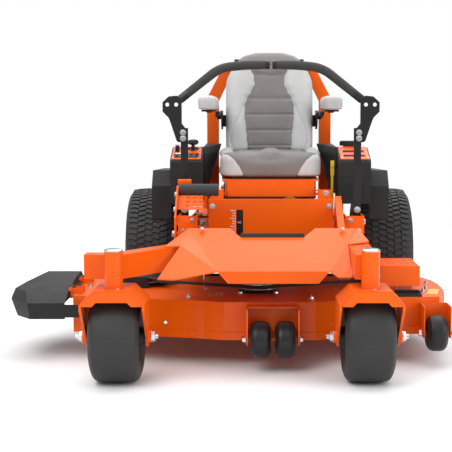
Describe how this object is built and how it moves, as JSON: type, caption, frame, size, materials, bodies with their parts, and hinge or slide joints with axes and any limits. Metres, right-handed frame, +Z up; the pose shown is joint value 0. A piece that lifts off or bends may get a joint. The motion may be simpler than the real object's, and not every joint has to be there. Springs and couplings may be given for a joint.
{
  "type": "zero-turn riding mower",
  "caption": "Zero-turn ride-on lawn mower: tube frame, caster forks, lap-bar levers, padded tilting seat, rear engine and a wide side-discharge deck that rises on a pedal linkage.",
  "frame": {"origin": "middle of the machine's footprint on the ground", "axes": "+Z up; the driver faces -Y; +X is the driver's left, and the discharge chute is on the driver's right at -X"},
  "size_m": [1.612, 1.9634, 1.1497],
  "materials": {
    "orange_paint": "glossy powder coat",
    "charcoal_plastic": "moulded, fine grain",
    "black_plastic": "moulded, satin",
    "black_steel": "satin powder coat",
    "bare_steel": "machined",
    "zinc": "bright zinc plate",
    "engine_cast": "cast",
    "tyre": "matt rubber",
    "rubber": "matt",
    "seat_vinyl": "embossed vinyl",
    "arm_vinyl": "embossed vinyl",
    "yellow_plastic": "moulded"
  },
  "bodies": {
    "frame": {"left_rail": "orange_paint", "right_rail": "orange_paint", "cross_members": "orange_paint", "caster_bearings": "zinc", "foot_plate": "orange_paint", "floor_mat": "rubber", "seat_box": "orange_paint", "lever_mounts": "orange_paint", "fuel_tank": "charcoal_plastic", "control_console": "charcoal_plastic", "fenders": "charcoal_plastic", "console_panels": "orange_paint", "seat_hoop": "orange_paint", "engine_block": "engine_cast", "engine_shroud": "black_plastic", "muffler": "bare_steel", "hydro_drives": "engine_cast", "engine_guard": "orange_paint", "frame_bolts": "zinc", "oil_dipstick": "yellow_plastic"},
    "fan": {"engine_fan": "black_steel"},
    "deck": {"deck_shell": "orange_paint", "spindle_housings": "black_steel", "roller_brackets": "orange_paint", "deck_belt": "rubber", "belt_covers": "black_plastic", "step_tray": "orange_paint", "lift_links": "zinc"},
    "blade_left": {"blade_spindle_left": "bare_steel"},
    "blade_middle": {"blade_spindle_middle": "bare_steel"},
    "blade_right": {"blade_spindle_right": "bare_steel"},
    "chute": {"discharge_chute": "charcoal_plastic"},
    "nose_roller_left": {"roller_middle_left": "black_plastic"},
    "nose_roller_right": {"roller_middle_right": "black_plastic"},
    "side_roller": {"roller_corner": "black_plastic"},
    "caster_left": {"fork_left": "orange_paint"},
    "caster_right": {"fork_right": "orange_paint"},
    "front_wheel_left": {"front_tyre_left": "tyre", "front_rim_left": "black_steel"},
    "front_wheel_right": {"front_tyre_right": "tyre", "front_rim_right": "black_steel"},
    "rear_wheel_left": {"rear_tyre_left": "tyre", "rear_rim_left": "black_steel"},
    "rear_wheel_right": {"rear_tyre_right": "tyre", "rear_rim_right": "black_steel"},
    "lever_left": {"lever_base_left": "black_steel"},
    "lever_right": {"lever_base_right": "black_steel"},
    "bar_left": {"lap_bar_left": "black_steel"},
    "bar_right": {"lap_bar_right": "black_steel"},
    "seat_base": {"seat_plate": "orange_paint"},
    "seat": {"seat_frame": "black_steel", "seat_cushion": "seat_vinyl", "seat_back": "seat_vinyl"},
    "arm_left": {"armrest_left": "arm_vinyl"},
    "arm_right": {"armrest_right": "arm_vinyl"},
    "pedal": {"lift_pedal": "orange_paint"},
    "front_lift": {"lift_shaft_front": "bare_steel"},
    "rear_lift": {"lift_shaft_rear": "bare_steel"},
    "cap": {"fuel_cap": "black_plastic"},
    "switch": {"blade_switch": "black_plastic"}
  },
  "joints": [
    {"name": "caster_left_swivel", "type": "hinge", "parent": "frame", "child": "caster_left", "pos_m": [0.474, -0.8995, 0.388], "axis": [0, 0, 1], "continuous": true},
    {"name": "caster_right_swivel", "type": "hinge", "parent": "frame", "child": "caster_right", "pos_m": [-0.359, -0.8995, 0.388], "axis": [0, 0, 1], "continuous": true},
    {"name": "front_wheel_left_roll", "type": "hinge", "parent": "caster_left", "child": "front_wheel_left", "pos_m": [0.474, -0.8295, 0.152], "axis": [1, 0, 0], "continuous": true},
    {"name": "front_wheel_right_roll", "type": "hinge", "parent": "caster_right", "child": "front_wheel_right", "pos_m": [-0.359, -0.8295, 0.152], "axis": [1, 0, 0], "continuous": true},
    {"name": "rear_wheel_left_roll", "type": "hinge", "parent": "frame", "child": "rear_wheel_left", "pos_m": [0.653, 0.4205, 0.279], "axis": [1, 0, 0], "continuous": true},
    {"name": "rear_wheel_right_roll", "type": "hinge", "parent": "frame", "child": "rear_wheel_right", "pos_m": [-0.331, 0.4205, 0.279], "axis": [1, 0, 0], "continuous": true},
    {"name": "lever_left_drive", "type": "hinge", "parent": "frame", "child": "lever_left", "pos_m": [0.493, -0.1915, 0.47], "axis": [1, 0, 0], "range_deg": [-8, 15], "stiffness_Nm_per_rad": 60},
    {"name": "lever_right_drive", "type": "hinge", "parent": "frame", "child": "lever_right", "pos_m": [-0.171, -0.1915, 0.47], "axis": [1, 0, 0], "range_deg": [-8, 15], "stiffness_Nm_per_rad": 60},
    {"name": "bar_left_swing", "type": "hinge", "parent": "lever_left", "child": "bar_left", "pos_m": [0.493, -0.1915, 0.52], "axis": [0, 1, 0], "range_deg": [0, 18]},
    {"name": "bar_right_swing", "type": "hinge", "parent": "lever_right", "child": "bar_right", "pos_m": [-0.171, -0.1915, 0.52], "axis": [0, -1, 0], "range_deg": [0, 18]},
    {"name": "seat_tilt", "type": "hinge", "parent": "frame", "child": "seat_base", "pos_m": [0.161, -0.1695, 0.578], "axis": [1, 0, 0], "range_deg": [0, 18]},
    {"name": "seat_slide", "type": "slide", "parent": "seat_base", "child": "seat", "axis": [0, 1, 0], "range_m": [-0.09, 0]},
    {"name": "arm_left_flip", "type": "hinge", "parent": "seat", "child": "arm_left", "pos_m": [0.376, 0.2555, 0.88], "axis": [-1, 0, 0], "range_deg": [0, 95]},
    {"name": "arm_right_flip", "type": "hinge", "parent": "seat", "child": "arm_right", "pos_m": [-0.054, 0.2555, 0.88], "axis": [-1, 0, 0], "range_deg": [0, 95]},
    {"name": "deck_height", "type": "slide", "parent": "frame", "child": "deck", "axis": [0, 0, 1], "range_m": [-0.045, 0.015]},
    {"name": "front_lift_turn", "type": "hinge", "parent": "frame", "child": "front_lift", "pos_m": [0.161, -0.1795, 0.392], "axis": [1, 0, 0], "range_deg": [-8, 20]},
    {"name": "rear_lift_turn", "type": "hinge", "parent": "frame", "child": "rear_lift", "pos_m": [0.161, 0.1055, 0.392], "axis": [1, 0, 0], "range_deg": [-8, 20]},
    {"name": "pedal_push", "type": "hinge", "parent": "frame", "child": "pedal", "pos_m": [-0.188, -0.4795, 0.455], "axis": [1, 0, 0], "range_deg": [-20, 8]},
    {"name": "blade_middle_spin", "type": "hinge", "parent": "deck", "child": "blade_middle", "pos_m": [0.111, -0.3845, 0.2], "axis": [0, 0, 1], "continuous": true},
    {"name": "blade_left_spin", "type": "hinge", "parent": "deck", "child": "blade_left", "pos_m": [0.543, -0.2145, 0.2], "axis": [0, 0, 1], "continuous": true},
    {"name": "blade_right_spin", "type": "hinge", "parent": "deck", "child": "blade_right", "pos_m": [-0.321, -0.2145, 0.2], "axis": [0, 0, 1], "continuous": true},
    {"name": "chute_lift", "type": "hinge", "parent": "deck", "child": "chute", "pos_m": [-0.576, -0.2995, 0.248], "axis": [0, 1, 0], "range_deg": [0, 90]},
    {"name": "nose_roller_left_roll", "type": "hinge", "parent": "deck", "child": "nose_roller_left", "pos_m": [0.204, -0.6995, 0.115], "axis": [1, 0, 0], "continuous": true},
    {"name": "nose_roller_right_roll", "type": "hinge", "parent": "deck", "child": "nose_roller_right", "pos_m": [0.118, -0.6995, 0.115], "axis": [1, 0, 0], "continuous": true},
    {"name": "side_roller_roll", "type": "hinge", "parent": "deck", "child": "side_roller", "pos_m": [0.7425, -0.5915, 0.115], "axis": [1, 0, 0], "continuous": true},
    {"name": "fan_spin", "type": "hinge", "parent": "frame", "child": "fan", "pos_m": [0.161, 0.6465, 0.6], "axis": [0, 0, 1], "continuous": true},
    {"name": "cap_turn", "type": "hinge", "parent": "frame", "child": "cap", "pos_m": [0.491, 0.0905, 0.75], "axis": [0, 0, 1], "range_deg": [0, 180]},
    {"name": "switch_pull", "type": "slide", "parent": "frame", "child": "switch", "axis": [0, 0, 1], "range_m": [0, 0.01]}
  ],
  "couplings": [
    {"joint": "front_lift_turn", "follows": "deck_height", "rad_per_m": -7.4074},
    {"joint": "rear_lift_turn", "follows": "deck_height", "rad_per_m": -7.4074},
    {"joint": "pedal_push", "follows": "deck_height", "rad_per_m": 7.4074},
    {"joint": "blade_left_spin", "follows": "blade_middle_spin", "ratio": 1},
    {"joint": "blade_right_spin", "follows": "blade_middle_spin", "ratio": 1}
  ]
}
